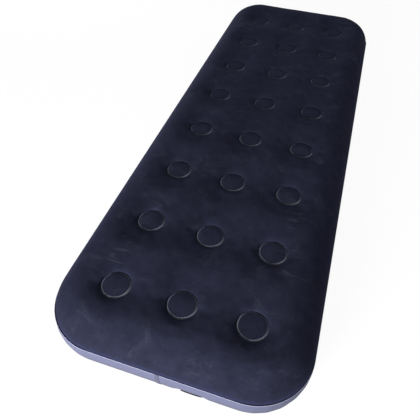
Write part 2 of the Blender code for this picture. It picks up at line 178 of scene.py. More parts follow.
class ValveForm(bpy.types.PropertyGroup):
    """Sizes of the valve's moulded details"""
    flange: length("Flange", 0.0012, "Thickness of the flanges and the lid")
    edge: length("Edge", 0.0003, "Rounding of the moulded edges")
    socket_wall: length("Socket Wall", 0.0024, "Wall of the socket's tube")
    throat: length("Throat", 0.0125, "Radius of the throat for the pump")
    thread: length("Thread Depth", 0.0007, "Depth of the insert's thread")
    thread_gap: length("Thread Gap", 0.0003, "Clearance of the thread in its bore")
    pitch: length("Pitch", 0.0030, "Rise of the thread in one turn")
    grid: length("Grid", 0.0016, "Thickness of the grid at the throat's end")
    grid_hole: length("Grid Hole", 0.0024, "Radius of each hole in the grid")
    grid_circle: length("Grid Circle", 0.0085, "Radius of the circle of holes")
    grid_holes: IntProperty(name="Grid Holes", description="Holes in the grid", default=6, min=3)
    stem: length("Stem", 0.0022, "Radius of the check disc's stem")
    barb: length("Barb", 0.0020, "Length of the barb that holds the stem")
    disc: length("Check Disc", 0.0012, "Thickness of the check disc")
    stopper_gap: length("Stopper Gap", 0.0006, "Clearance of the lid's stopper in the throat")
    rim: length("Lid Rim", 0.0016, "Width of the lid's raised rim")
    dish: length("Lid Dish", 0.0005, "Depth of the lid inside its rim")
    lip: length("Finger Lip", 0.0022, "How far the lid's lip stands out")
    hinge_width: length("Hinge Width", 0.0120, "Width of the hinge tabs")


class MattressColours(bpy.types.PropertyGroup):
    """Colours of the films and the valve"""
    flock: colour("Flock", (0.0236, 0.0260, 0.0488), "Short navy flock on the top")
    dust: colour("Dust", (0.116, 0.122, 0.160), "Dust and rubbed pile on the flock")
    weld: colour("Weld", (0.246, 0.256, 0.314), "Film pressed bare at a weld ring")
    wall: colour("Wall", (0.158, 0.166, 0.262), "Smooth vinyl of the wall band")
    # Painted highlight: the lighter colour along the band's welded lip.
    wall_lip_highlight: colour("Wall Edge", (0.370, 0.382, 0.520), "Welded edge of the wall band")
    base: colour("Base", (0.050, 0.053, 0.080), "Plain vinyl of the bottom film")
    coil: colour("Coil Beam", (0.42, 0.43, 0.48), "Milky film of the inner tubes")
    plastic: colour("Valve Plastic", (0.030, 0.030, 0.038), "Moulded valve parts")
    rubber: colour("Valve Rubber", (0.075, 0.075, 0.082), "Seal and check disc")
    floor: colour("Floor", (0.60, 0.60, 0.60), "Pale floor under the mattress")


class MattressStage(bpy.types.PropertyGroup):
    """Camera and lamps"""
    lens: FloatProperty(name="Lens", description="Focal length on a 36 mm sensor",
                        default=36.63, unit="CAMERA")
    key: FloatProperty(name="Key", description="Power of the main lamp, low in front",
                       default=83.0, unit="POWER")
    fill: FloatProperty(name="Fill", description="Power of the soft lamp overhead",
                        default=18.5, unit="POWER")
    rear: FloatProperty(name="Rear", description="Power of the low lamp behind on the left",
                        default=26.0, unit="POWER")
    daylight: FloatProperty(name="Daylight", description="Strength of the even light all round",
                            default=0.05)


class Term:
    """A node's output that can be reckoned with like a number, by adding Math nodes."""

    def __init__(self, nodes, socket):
        self.nodes = nodes
        self.socket = socket

    def math(self, operation, *values):
        return self.nodes.node("ShaderNodeMath", {"operation": operation}, dict(enumerate(values)))

    def __add__(self, other):
        return self.math("ADD", self, other)

    __radd__ = __add__

    def __sub__(self, other):
        return self.math("SUBTRACT", self, other)

    def __rsub__(self, other):
        return self.math("SUBTRACT", other, self)

    def __mul__(self, other):
        return self.math("MULTIPLY", self, other)

    __rmul__ = __mul__

    def top(self, other):
        return self.math("MAXIMUM", self, other)

    def low(self, other):
        return self.math("MINIMUM", self, other)


class Nodes:
    """The node tree of a material or world, to which nodes are added by expressions."""

    def __init__(self, owner):
        owner.use_nodes = True
        self.tree = owner.node_tree

    def node(self, kind, settings, inputs, output=0):
        """Adds a node, makes its settings first and then fills or links its sockets."""
        made = self.tree.nodes.new(kind)
        for setting, value in settings.items():
            setattr(made, setting, value)
        for key, value in inputs.items():
            if isinstance(value, Term):
                self.tree.links.new(value.socket, made.inputs[key])
            elif isinstance(value, (tuple, list)) and len(made.inputs[key].default_value) == 4:
                made.inputs[key].default_value = (*value[:3], 1.0)
            else:
                made.inputs[key].default_value = value
        return Term(self, made.outputs[output])

    def surface(self, value):
        """Makes a shader the tree's output."""
        output = next(node for node in self.tree.nodes if node.type.startswith("OUTPUT"))
        self.tree.links.new(value.socket, output.inputs["Surface"])

    def seen(self):
        """1 where the camera sees something, straight, by gloss or through glass."""
        straight, glossy, through = (
            self.node("ShaderNodeLightPath", {}, {}, output)
            for output in ("Is Camera Ray", "Is Glossy Ray", "Is Transmission Ray"))
        return straight.top(glossy).top(through)


class Finish(Nodes):
    """A material on one Principled shader, whose even settings are given by name."""

    def __init__(self, name, **even):
        self.material = bpy.data.materials.new(name)
        super().__init__(self.material)
        self.shader = self.tree.nodes["Principled BSDF"]
        for socket, value in even.items():
            self.shader.inputs[socket.replace("_", " ")].default_value = value

    def place(self, scale=(1, 1, 1)):
        """Object coordinates, stretched by a scale."""
        spot = self.node("ShaderNodeTexCoord", {}, {}, "Object")
        return self.node("ShaderNodeMapping", {}, {"Vector": spot, "Scale": scale})

    def noise(self, scale, detail=3.0, roughness=0.5, stretch=(1, 1, 1), distortion=0.0):
        inputs = {"Vector": self.place(stretch), "Scale": scale, "Detail": detail,
                  "Roughness": roughness, "Distortion": distortion}
        return self.node("ShaderNodeTexNoise", {}, inputs)

    def cells(self, scale):
        """Distance to the nearest of many scattered points."""
        return self.node("ShaderNodeTexVoronoi", {}, {"Vector": self.place(), "Scale": scale})

    def mask(self, name):
        """A number stored on the mesh's points."""
        return self.node("ShaderNodeAttribute", {"attribute_name": name}, {}, "Fac")

    def span(self, value, low, high):
        """Rises smoothly from 0 to 1 as a value goes from low to high."""
        inputs = {"Value": value, "From Min": low, "From Max": high}
        return self.node("ShaderNodeMapRange", {"interpolation_type": "SMOOTHSTEP"}, inputs)

    def mix(self, factor, first, second):
        """A colour between two colours."""
        inputs = {0: factor, 6: first, 7: second}
        return self.node("ShaderNodeMix", {"data_type": "RGBA"}, inputs, 2)

    def tone(self, shade, factor):
        """A colour made darker or lighter by a factor."""
        grey = self.node("ShaderNodeCombineColor", {}, {0: factor, 1: factor, 2: factor})
        inputs = {0: 1.0, 6: shade, 7: grey}
        settings = {"data_type": "RGBA", "blend_type": "MULTIPLY", "clamp_factor": False}
        return self.node("ShaderNodeMix", settings, inputs, 2)

    def bump(self, height, distance, strength=1.0):
        inputs = {"Height": height, "Distance": distance, "Strength": strength}
        self.feed("Normal", self.node("ShaderNodeBump", {}, inputs))

    def feed(self, socket, value):
        self.tree.links.new(value.socket, self.shader.inputs[socket])


def flock_finish(colours):
    """Short navy flock: mottled pile, dust, specks, rubbed creases and bare weld rings, with
    painted light on the discs and on the low shoulder round the wall's lip.
    """
    made = Finish("navy_flock", Sheen_Weight=0.06, Sheen_Roughness=0.45,
                  Sheen_Tint=(0.42, 0.42, 0.90, 1.0), Specular_IOR_Level=0.03)
    weld, disc, worn, seam = (made.mask(name) for name in ("weld", "disc", "worn", "seam"))
    broad = made.noise(5.5, 4.0, 0.55)
    mottle = made.noise(30.0, 7.0, 0.70)
    pile = made.noise(900.0, 2.0, 0.6)
    smudge = made.span(made.noise(15.0, 8.0, 0.78, distortion=0.8), 0.52, 0.80)
    speck = 1 - made.span(made.cells(70.0), 0.05, 0.10)
    rare = made.span(made.noise(17.0, 2.0), 0.54, 0.64)
    streak = made.span(made.noise(9.0, 6.0, 0.62, stretch=(1, 5, 1), distortion=1.1), 0.53, 0.72)
    level = 0.08 + broad * 0.66 + mottle * 1.18 + (pile - 0.5) * 0.5
    # Painted light: the flock on the discs inside the weld rings is made 8% lighter.
    base = made.tone(tuple(colours.flock), level * (1 + disc * 0.08))
    # Painted light: low on the rounded side, round the wall's lip, the flock is mixed towards a
    # lighter, bluer navy and kept free of dust.
    base = made.mix(seam * 0.6, base, (0.038, 0.044, 0.104))
    dusty = (smudge * 0.34 + speck * rare * 0.6 + worn * streak * 0.5).low(1.0) * (1 - seam)
    base = made.mix(dusty, base, tuple(colours.dust))
    bare = made.tone(tuple(colours.weld), 0.6 + mottle * 0.8)
    made.feed("Base Color", made.mix(weld, base, bare))
    made.feed("Roughness", 0.93 - weld * 0.40)
    made.bump(pile * (1 - weld) + mottle * 0.5 + worn * streak * 0.8, 0.0009, 0.6)
    return made.material


def wall_finish(colours):
    """Satin vinyl of the wall band, with a painted highlight along its welded edge and painted
    shade, darker and greyer, low on the band.
    """
    made = Finish("wall_vinyl", Specular_IOR_Level=0.015)
    edge, under = made.mask("edge"), made.mask("under")
    cloud = made.noise(7.0, 4.0, 0.6)
    grain = made.noise(420.0, 2.0, 0.5)
    # Painted shade: the under mask makes the band darker and greyer towards its foot.
    base = made.tone(tuple(colours.wall), (0.86 + cloud * 0.28) * (1 - under * 0.28))
    base = made.mix(under * 0.35, base, (0.140, 0.128, 0.168))
    # Painted highlight: the welded lip at the band's top edge takes a lighter colour.
    made.feed("Base Color", made.mix(edge, base, tuple(colours.wall_lip_highlight)))
    made.feed("Roughness", 0.34 + cloud * 0.12 + grain * 0.05)
    made.bump(grain * 0.6 + cloud * 0.4, 0.0006, 0.25)
    return made.material


def film_finish(name, shade, roughness):
    """Plain vinyl with a fine embossed grain and slow clouds."""
    made = Finish(name, Specular_IOR_Level=0.25)
    cloud = made.noise(9.0, 4.0, 0.6)
    grain = made.noise(520.0, 2.0, 0.5)
    weld = made.mask("weld")
    base = made.tone(shade, 0.82 + cloud * 0.36)
    made.feed("Base Color", made.mix(weld * 0.45, base, (0.16, 0.16, 0.19)))
    made.feed("Roughness", roughness + cloud * 0.14)
    made.bump(grain, 0.0005, 0.3)
    return made.material


def moulded_finish(name, shade, roughness):
    """Moulded plastic or rubber with a fine texture and light scuffs."""
    made = Finish(name, Specular_IOR_Level=0.18)
    grain = made.noise(1500.0, 2.0, 0.5)
    scuff = made.span(made.noise(160.0, 5.0, 0.7, stretch=(1, 4, 1)), 0.58, 0.80)
    light = tuple(min(1.0, part * 2.2 + 0.02) for part in shade)
    made.feed("Base Color", made.mix(scuff * 0.5, shade, light))
    made.feed("Roughness", roughness + scuff * 0.18 + (grain - 0.5) * 0.08)
    made.bump(grain, 0.0002, 0.35)
    return made.material


def finishes():
    """The mattress's materials by the record's slots, made once."""
    if "materials" not in MADE:
        colours = bpy.context.scene.mattress_colours
        MADE["materials"] = {
            "flock": flock_finish(colours),
            "wall_vinyl": wall_finish(colours),
            "base_vinyl": film_finish("base_vinyl", tuple(colours.base), 0.42),
            "coil_vinyl": film_finish("coil_vinyl", tuple(colours.coil), 0.34),
            "valve_plastic": moulded_finish("valve_plastic", tuple(colours.plastic), 0.56),
            "valve_rubber": moulded_finish("valve_rubber", tuple(colours.rubber), 0.62),
        }
    return MADE["materials"]


def give_finish(piece, slot):
    """Gives a finished piece a material by the record's slot."""
    piece.data.materials.clear()
    piece.data.materials.append(finishes()[slot])


def dress(piece, slot, body, *nodes):
    """Gives a finished piece its material and body, and hides the nodes that it stands for."""
    give_finish(piece, slot)
    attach(piece, body)
    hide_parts(*nodes)


def ease(low, high, value):
    """Rises smoothly from 0 to 1 between two values."""
    share = np.clip((np.asarray(value, float) - low) / (high - low), 0.0, 1.0)
    return share * share * (3 - 2 * share)


def waves(x, y, scale, seed):
    """Smooth noise over the plan, about -1 to 1, with the same result each run."""
    return np.array([noise.noise(Vector((a, b, seed))) for a, b in zip(x * scale, y * scale)])


def deselect():
    """Leaves edit mode and selects nothing."""
    if bpy.context.mode != "OBJECT":
        bpy.ops.object.mode_set(mode="OBJECT")
    bpy.ops.object.select_all(action="DESELECT")


def pick(piece):
    """Makes one piece active and selects it alone."""
    deselect()
    bpy.context.view_layer.objects.active = piece
    piece.select_set(True)


def edit(piece):
    """Opens one piece in edit mode."""
    pick(piece)
    bpy.ops.object.mode_set(mode="EDIT")


def leave_edit():
    """Goes back to object mode."""
    bpy.ops.object.mode_set(mode="OBJECT")


def close_up():
    """Merges the doubles of the piece in edit mode, turns its faces out and leaves it."""
    bpy.ops.mesh.select_all(action="SELECT")
    bpy.ops.mesh.remove_doubles(threshold=VALVE_MERGE)
    bpy.ops.mesh.normals_make_consistent(inside=False)
    leave_edit()


def link_object(name, data):
    """A new object in the scene, made from a mesh, lamp or camera."""
    made = bpy.data.objects.new(name, data)
    bpy.context.scene.collection.objects.link(made)
    return made


def smooth_shade(piece, degrees):
    """Shades a piece smooth, apart from its edges over an angle."""
    piece.data.shade_smooth()
    piece.data.set_sharp_from_angle(angle=math.radians(degrees))


def apply_modifiers(piece):
    """Applies every modifier of a piece, in order."""
    pick(piece)
    for name in [modifier.name for modifier in piece.modifiers]:
        bpy.ops.object.modifier_apply(modifier=name)
    deselect()


def cell_lines(places, border):
    """Lines of the film's cells one way: the borders, and the middles between dimples."""
    middles = [(a + b) / 2 for a, b in zip(places, places[1:])]
    return [-border, *middles, border]


def corner_centre(form):
    """Place that the outline's corner at the far right turns round."""
    return HALF_WIDTH - form.corner_radius, HALF_LENGTH - form.corner_radius


def corner_stations(form, start_x, start_y, count):
    """Feet and outward directions round a corner, from its end wall to its side wall."""
    arc_x, arc_y = corner_centre(form)
    legs = arc_x - start_x, form.corner_radius * math.pi / 2, arc_y - start_y
    stations = []
    for step in range(count + 1):
        run = sum(legs) * step / count
        if run < legs[0]:
            stations.append((start_x + run, arc_y, 0.0, 1.0))
        elif run < legs[0] + legs[1]:
            angle = math.pi / 2 - (run - legs[0]) / form.corner_radius
            stations.append((arc_x, arc_y, math.cos(angle), math.sin(angle)))
        else:
            stations.append((arc_x, arc_y - (run - legs[0] - legs[1]), 1.0, 0.0))
    return stations


def corner_numbers(sign_x, sign_y, count):
    """Order of a corner cell's border points, from its end wall to its side wall."""
    start = {(1, 1): 2, (-1, 1): 1, (-1, -1): 4, (1, -1): 3}[sign_x, sign_y] * count
    step = -1 if sign_x == sign_y else 1
    return [(start + step * number) % (4 * count) for number in range(2 * count + 1)]


def cell_border(form, column, row, across, along, count):
    """Points round one cell, from its near right corner: x, y, foot x, foot y, direction.

    The direction is zero where a point isn't on the film's own border.
    """
    left, right = across[column], across[column + 1]
    near, far = along[row], along[row + 1]
    corners = np.array(((right, near), (right, far), (left, far), (left, near), (right, near)))
    shares = np.linspace(0, 1, count, endpoint=False)[:, None]
    points = np.zeros((4 * count, 6))
    for side in range(4):
        first, second = corners[side], corners[side + 1]
        points[side * count:(side + 1) * count, :2] = first + (second - first) * shares
    arc_x, arc_y = corner_centre(form)
    at_right, at_far = column == len(across) - 2, row == len(along) - 2
    for side, edge in enumerate((at_right, at_far, column == 0, row == 0)):
        for number in range(side * count, (side + 1) * count + 1) if edge else ():
            spot = points[number % (4 * count)]
            out_x, out_y = ((1, 0), (0, 1), (-1, 0), (0, -1))[side]
            foot = (out_x * arc_x, spot[1]) if out_x else (spot[0], out_y * arc_y)
            spot[2:] = (*foot, out_x, out_y)
    for sign_x, edge_x in ((1, at_right), (-1, column == 0)):
        for sign_y, edge_y in ((1, at_far), (-1, row == 0)):
            if edge_x and edge_y:
                start = min(abs(left), abs(right)), min(abs(near), abs(far))
                path = corner_stations(form, *start, 2 * count)
                numbers = corner_numbers(sign_x, sign_y, count)
                for number, (x, y, out_x, out_y) in zip(numbers, path):
                    points[number, 2:] = sign_x * x, sign_y * y, sign_x * out_x, sign_y * out_y
    outer = on_edge(points)
    reach = form.corner_radius - form.shoulder
    points[outer, :2] = points[outer, 2:4] + points[outer, 4:] * reach
    return points


def on_edge(points):
    """Whether each point has an outward direction, and so lies on the film's border."""
    return np.hypot(points[:, 4], points[:, 5]) > 0.5


class FilmPlan:
    """Plan of a dimpled film: cells lofted to their rings, and its rounded side.

    A row holds x, y, foot x, foot y, direction x, direction y and the side's angle,
    which is 90 degrees on the flat film.
    """

    def __init__(self, form, count, radii, angles):
        self.rows, self.faces = [], []
        across = cell_lines(COLUMN_PLACES, HALF_WIDTH - form.shoulder)
        along = cell_lines(ROW_PLACES, HALF_LENGTH - form.shoulder)
        for column, centre_x in enumerate(COLUMN_PLACES):
            for row, centre_y in enumerate(ROW_PLACES):
                border = cell_border(form, column, row, across, along, count)
                self.add_cell(border, np.array((centre_x, centre_y)), radii)
                self.add_side(border, angles)
        self.rows = np.array(self.rows)

    def loop(self, plan, stations=None, angle=90.0):
        start = len(self.rows)
        for number, spot in enumerate(plan):
            station = (0, 0, 0, 0) if stations is None else stations[number]
            self.rows.append((*spot, *station, angle))
        return list(range(start, start + len(plan)))

    def add_cell(self, border, centre, radii):
        """Adds the film between a cell's border and its dimple's centre."""
        offset = border[:, :2] - centre
        step = 2 * math.pi / len(border)
        turn = np.arctan2(offset[:, 1], offset[:, 0]) - step * np.arange(len(border))
        start = math.atan2(np.sin(turn).mean(), np.cos(turn).mean())
        angles = start + step * np.arange(len(border))
        circle = np.stack((np.cos(angles), np.sin(angles)), 1)
        last = self.loop(border[:, :2])
        loops = [border[:, :2] * (1 - share) + (centre + circle * radii[0]) * share
                 for share in LOFT_SHARES]
        loops += [centre + circle * radius for radius in radii]
        for plan in loops:
            fresh = self.loop(plan)
            for number, point in enumerate(last):
                after = (number + 1) % len(last)
                self.faces.append((point, last[after], fresh[after], fresh[number]))
            last = fresh
        middle = self.loop([centre])[0]
        for number, point in enumerate(last):
            self.faces.append((point, last[(number + 1) % len(last)], middle))

    def add_side(self, border, angles):
        """Adds the rounded side that hangs from a cell's points on the film's border."""
        outer = on_edge(border)
        for number in range(len(border)):
            after = (number + 1) % len(border)
            if not (outer[number] and outer[after]):
                continue
            pair = border[[number, after]]
            last = self.loop(pair[:, :2], pair[:, 2:])
            for angle in angles:
                fresh = self.loop(pair[:, :2], pair[:, 2:], angle)
                self.faces.append((last[1], last[0], fresh[0], fresh[1]))
                last = fresh


def side_point(form, angle, tuck=0.0):
    """Reach from the corner's foot, and height, of the rounded side at an angle."""
    reach = form.corner_radius - form.shoulder + (form.shoulder - tuck) * np.cos(angle)
    return reach, HEIGHT / 2 * (1 + np.sin(angle))


def dimple_drop(form, x, y):
    """Depth of the film below its crowns, without the detail of its welds."""
    away = np.hypot(x[:, None] - DIMPLES[:, 0], y[:, None] - DIMPLES[:, 1])
    lift = np.prod(1 - np.exp(-np.maximum(0, away - RING_RADIUS) / form.fade), axis=1)
    pitch_x = COLUMN_PLACES[1] - COLUMN_PLACES[0]
    pitch_y = ROW_PLACES[1] - ROW_PLACES[0]
    corner = math.hypot(pitch_x, pitch_y) / 2 - RING_RADIUS
    crown = (1 - math.exp(-corner / form.fade)) ** 4
    return (HEIGHT - BEAM_TOP - form.clearance) * (1 - np.minimum(1, lift / crown))


def film_places(form, rows, tucked):
    """Places of a film's points: dimpled on the flat, rounded and tucked in at its side.

    The two tucked angles are where the film is fully tucked in, and where not at all.
    """
    angle = np.radians(rows[:, 6])
    tuck = form.lap * (1 - ease(*np.radians(tucked), angle))
    reach, rise = side_point(form, angle, tuck)
    outer = on_edge(rows)[:, None]
    plan = np.where(outer, rows[:, 2:4] + rows[:, 4:6] * reach[:, None], rows[:, :2])
    rise = rise - dimple_drop(form, plan[:, 0], plan[:, 1]) * ease(0.15, 1.35, angle)
    return np.column_stack((plan, rise))


def nearest_dimple(x, y):
    """Distance from each place to the nearest dimple's centre."""
    return np.hypot(x[:, None] - DIMPLES[:, 0], y[:, None] - DIMPLES[:, 1]).min(axis=1)


def puckers(form, x, y):
    """Small ridges that run out from each weld ring, different at each dimple."""
    draws = np.random.default_rng(PUCKER_SEED)
    total = np.zeros(len(x))
    for centre in DIMPLES:
        away = np.hypot(x - centre[0], y - centre[1]) - RING_RADIUS
        angle = np.arctan2(y - centre[1], x - centre[0])
        ripple = np.zeros(len(x))
        for count in draws.integers(5, 17, 4):
            start = draws.uniform(0, 2 * math.pi)
            ripple += np.cos(count * angle + start) * draws.uniform(0.3, 1.0)
        reach = draws.uniform(0.014, 0.030)
        total += ripple / 2 * np.exp(-np.maximum(0, away) / reach) * ease(0.0, 0.007, away)
    return total * form.pucker


def film_detail(form, co, flat, seed):
    """Adds to a film's points its pressed rings, the discs inside them, which are domed and
    have a raised edge, the brows and puckers round them, and slow waves.

    Returns the masks of the pressed rings and of the discs inside them.
    """
    x, y = co[:, 0], co[:, 1]
    away = nearest_dimple(x, y)
    half = form.weld_width / 2
    ring = RING_RADIUS - half
    band = np.abs(away - ring) / half
    weld = 1 - ease(0.50, 1.05, np.abs(away - ring + half * 0.70) / half)
    inside = np.clip(away / ring, 0, 1)
    dome = form.dome * (1 - inside ** 2) ** 0.8 * (1 + 0.35 * waves(x, y, 9.0, seed + 5))
    press = form.weld_press * (1 - ease(0.6, 1.6, band))
    step = form.step * (1 - ease(ring - form.weld_width * 0.75, ring - half * 0.2, away))
    brow = ease(ring + half * 0.2, ring + form.weld_width * 0.75, away)
    brow *= form.brow * (1 - ease(form.weld_width, form.brow_fade, away - ring))
    free = ease(0.0, 0.030, away - RING_RADIUS)
    swell = waves(x, y, 7.0, seed) + 0.45 * waves(x, y, 17.0, seed + 2)
    swell *= ease(0.0, 0.10, HALF_LENGTH - np.abs(y)) * ease(0.0, 0.10, HALF_WIDTH - np.abs(x))
    ripple = 0.16 * waves(x, y, 46.0, seed + 3) * (0.4 + 0.6 * free)
    rise = dome + step + brow - press + puckers(form, x, y) + form.swell * (swell * free + ripple)
    co[:, 2] += rise * flat
    return weld * flat, (1 - ease(ring - half, ring, away)) * flat


def bare_mesh(name, points, faces):
    """A mesh object from points and faces, with its doubles merged and faces turned out."""
    mesh = bpy.data.meshes.new(name)
    mesh.from_pydata([tuple(point) for point in points], [], faces)
    bm = bmesh.new()
    bm.from_mesh(mesh)
    bmesh.ops.remove_doubles(bm, verts=bm.verts, dist=FILM_MERGE)
    bmesh.ops.recalc_face_normals(bm, faces=bm.faces)
    bm.to_mesh(mesh)
    bm.free()
    return link_object(name, mesh)


def read_points(piece):
    """Places of a piece's points as an array."""
    co = np.empty(len(piece.data.vertices) * 3)
    piece.data.vertices.foreach_get("co", co)
    return co.reshape(-1, 3)


def write_points(piece, co):
    """Moves a piece's points to the places in an array."""
    piece.data.vertices.foreach_set("co", co.ravel())
    piece.data.update()


def store_mask(piece, name, values):
    """Stores a number for each point, for the materials to read."""
    layer = piece.data.attributes.get(name) or piece.data.attributes.new(name, "FLOAT", "POINT")
    layer.data.foreach_set("value", np.asarray(values, np.float32))


def subdivide(piece, levels=1):
    """Smooths a piece by subdivision."""
    step = piece.modifiers.new("subdivision", "SUBSURF")
    step.levels = step.render_levels = levels
    apply_modifiers(piece)


def thicken(piece, film, offset=-1.0):
    """Gives an open surface its thickness, inwards or (offset 1) outwards, and shades it."""
    shell = piece.modifiers.new("film", "SOLIDIFY")
    shell.thickness = film
    shell.offset = offset
    apply_modifiers(piece)
    smooth_shade(piece, FILM_SHARP)


def turn_outward(piece, sign):
    """Turns an open film's faces so that the flat part faces up or down."""
    up = sum(face.normal.z * face.area for face in piece.data.polygons)
    if up * sign < 0:
        piece.data.flip_normals()


def plan_height(form, x, y):
    """Height of the dimpled film over the plan, and how far each place is past the flat."""
    arc_x, arc_y = corner_centre(form)
    past = np.hypot(np.maximum(np.abs(x) - arc_x, 0), np.maximum(np.abs(y) - arc_y, 0))
    past = np.maximum(past - form.corner_radius + form.shoulder, 0)
    bend = np.minimum(past / form.shoulder, 0.8)
    return HEIGHT / 2 * (1 + np.sqrt(1 - bend ** 2)) - dimple_drop(form, x, y), past


def cloth_lift(form):
    """Lift that pressure gives the film between its rings and its side, by simulation.

    Returns the grid of lifts, its lowest corner and its spacings.
    """
    half_x, half_y = HALF_WIDTH - form.shoulder / 3, HALF_LENGTH - form.shoulder / 3
    across = np.linspace(-half_x, half_x, round(2 * half_x / form.cloth) + 1)
    along = np.linspace(-half_y, half_y, round(2 * half_y / form.cloth) + 1)
    x, y = (values.ravel() for values in np.meshgrid(across, along))
    rise, past = plan_height(form, x, y)
    steps = across[1] - across[0], along[1] - along[0]
    faces = grid_faces(len(along), len(across), False)
    sheet = bare_mesh("pressed_sheet", np.column_stack((x, y, rise)), faces)
    turn_outward(sheet, 1)
    pins = sheet.vertex_groups.new(name="pins")
    held = (nearest_dimple(x, y) < RING_RADIUS) | (past > form.shoulder * 0.3)
    pins.add([int(number) for number in np.flatnonzero(held)], 1.0, "REPLACE")
    step = sheet.modifiers.new("pressure", "CLOTH")
    cloth = step.settings
    cloth.quality = 6
    cloth.vertex_group_mass = "pins"
    cloth.tension_stiffness = cloth.compression_stiffness = CLOTH_STIFFNESS
    cloth.shear_stiffness = CLOTH_SHEAR
    cloth.bending_stiffness = CLOTH_BENDING
    cloth.use_pressure = True
    cloth.uniform_pressure_force = CLOTH_PRESSURE
    cloth.shrink_min = CLOTH_SHRINK
    cloth.effector_weights.gravity = 0
    step.collision_settings.use_collision = False
    for frame_number in range(1, CLOTH_FRAMES + 1):
        bpy.context.scene.frame_set(frame_number)
    apply_modifiers(sheet)
    lift = read_points(sheet)[:, 2] - rise
    bpy.data.objects.remove(sheet)
    bpy.context.scene.frame_set(1)
    lift = np.clip(lift, -form.cap, form.cap)
    return lift.reshape(len(along), len(across)), (-half_x, -half_y), steps


def between(grid, low, steps, x, y):
    """Smooth values of a grid at places between its points."""
    total = np.zeros(len(x))
    spots = [np.clip((values - start) / step, 0, count - 1.001)
             for values, start, step, count in zip((x, y), low, steps, grid.shape[::-1])]
    whole = [np.floor(spot).astype(int) for spot in spots]
    part = [spot - number for spot, number in zip(spots, whole)]
    shares = [((1 - t) ** 3, 3 * t ** 3 - 6 * t ** 2 + 4,
               1 + 3 * t + 3 * t ** 2 - 3 * t ** 3, t ** 3) for t in part]
    for column in range(4):
        for row in range(4):
            at_x = np.clip(whole[0] + column - 1, 0, grid.shape[1] - 1)
            at_y = np.clip(whole[1] + row - 1, 0, grid.shape[0] - 1)
            total += shares[0][column] * shares[1][row] * grid[at_y, at_x] / 36
    return total


def make_film(name, angles, tucked, sign, seed):
    """A dimpled film, which faces up at the top of the mattress or down at its base."""
    form = bpy.context.scene.mattress_form
    radii = [RING_RADIUS + step for step in WELD_STEPS]
    radii += [RING_RADIUS * share for share in DISC_SHARES]
    plan = FilmPlan(form, CELL_POINTS, radii, angles)
    piece = bare_mesh(name, film_places(form, plan.rows, tucked), plan.faces)
    turn_outward(piece, 1)
    subdivide(piece)
    co = read_points(piece)
    flat = ease(HEIGHT * 0.60, HEIGHT * 0.86, co[:, 2])
    if "lift" not in MADE:
        MADE["lift"] = cloth_lift(form)
    co[:, 2] += between(*MADE["lift"], co[:, 0], co[:, 1]) * flat
    weld, disc = film_detail(form, co, flat, seed)
    if sign < 0:
        co[:, 2] = np.maximum(HEIGHT - co[:, 2], 0.0)
    write_points(piece, co)
    store_mask(piece, "weld", weld)
    store_mask(piece, "disc", disc)
    if sign < 0:
        piece.data.flip_normals()
    return piece, co


class AIRMATTRESS_OT_top_film(bpy.types.Operator):
    """Flocked top film with its weld rings, puckers and rounded side"""
    bl_idname = "air_mattress.top_film"
    bl_label = "Top Film"

    def execute(self, context):
        piece, co = make_film("top_film", SIDE_ANGLES, SIDE_TUCKED, 1, TOP_SEED)
        # The seam mask marks where light is painted on the flock: the low side round the wall's
        # lip.
        side = 1 - ease(HEIGHT * 0.635, HEIGHT * 0.70, co[:, 2])
        store_mask(piece, "seam", side)
        beside = ease(0.0, 0.08, np.abs(co[:, 0]) - COLUMN_PLACES[2] + 0.05)
        patches = ease(0.0, 0.45, waves(co[:, 0], co[:, 1], 7.0, WORN_SEED))
        store_mask(piece, "worn", beside * patches * (1 - side))
        thicken(piece, context.scene.mattress_form.film)
        dress(piece, "flock", "mattress", "top_sheet")
        return {"FINISHED"}


class AIRMATTRESS_OT_base_film(bpy.types.Operator):
    """Plain bottom film that the mattress stands on"""
    bl_idname = "air_mattress.base_film"
    bl_label = "Base Film"

    def execute(self, context):
        piece, _ = make_film("base_film", BASE_SIDE_ANGLES, BASE_SIDE_TUCKED, -1, BASE_SEED)
        thicken(piece, context.scene.mattress_form.film)
        dress(piece, "base_vinyl", "mattress", "bottom_sheet")
        return {"FINISHED"}


def outline_stations(form, spacing):
    """Feet and outward directions round the whole outline, evenly spaced."""
    arc_x, arc_y = corner_centre(form)
    quarter = form.corner_radius * math.pi / 2
    steps_x, steps_y = round(2 * arc_x / spacing), round(2 * arc_y / spacing)
    steps_turn = round(quarter / spacing)
    stations = []
    for start, foot, along, steps in (
        (0, (arc_x, -arc_y), (0, 2 * arc_y), steps_y),
        (1, (arc_x, arc_y), (-2 * arc_x, 0), steps_x),
        (2, (-arc_x, arc_y), (0, -2 * arc_y), steps_y),
        (3, (-arc_x, -arc_y), (2 * arc_x, 0), steps_x),
    ):
        out = (math.cos(start * math.pi / 2), math.sin(start * math.pi / 2))
        for step in range(steps):
            share = step / steps
            stations.append((foot[0] + along[0] * share, foot[1] + along[1] * share, *out))
        corner = foot[0] + along[0], foot[1] + along[1]
        for step in range(steps_turn):
            angle = (start + step / steps_turn) * math.pi / 2
            stations.append((*corner, math.cos(angle), math.sin(angle)))
    return np.array(stations)


def flatten_at_valve(places, near, far, proud):
    """Presses points onto the valve's plane near its axis, fading out further away."""
    middle, out = np.array(VALVE_PLACE), np.array(VALVE_OUT)
    above = (places - middle) @ out
    away = np.linalg.norm(places - middle - above[:, None] * out, axis=1)
    weight = (1 - ease(near, far, away)) * (np.abs(above) < near)
    return places - out * ((above - proud) * weight)[:, None]


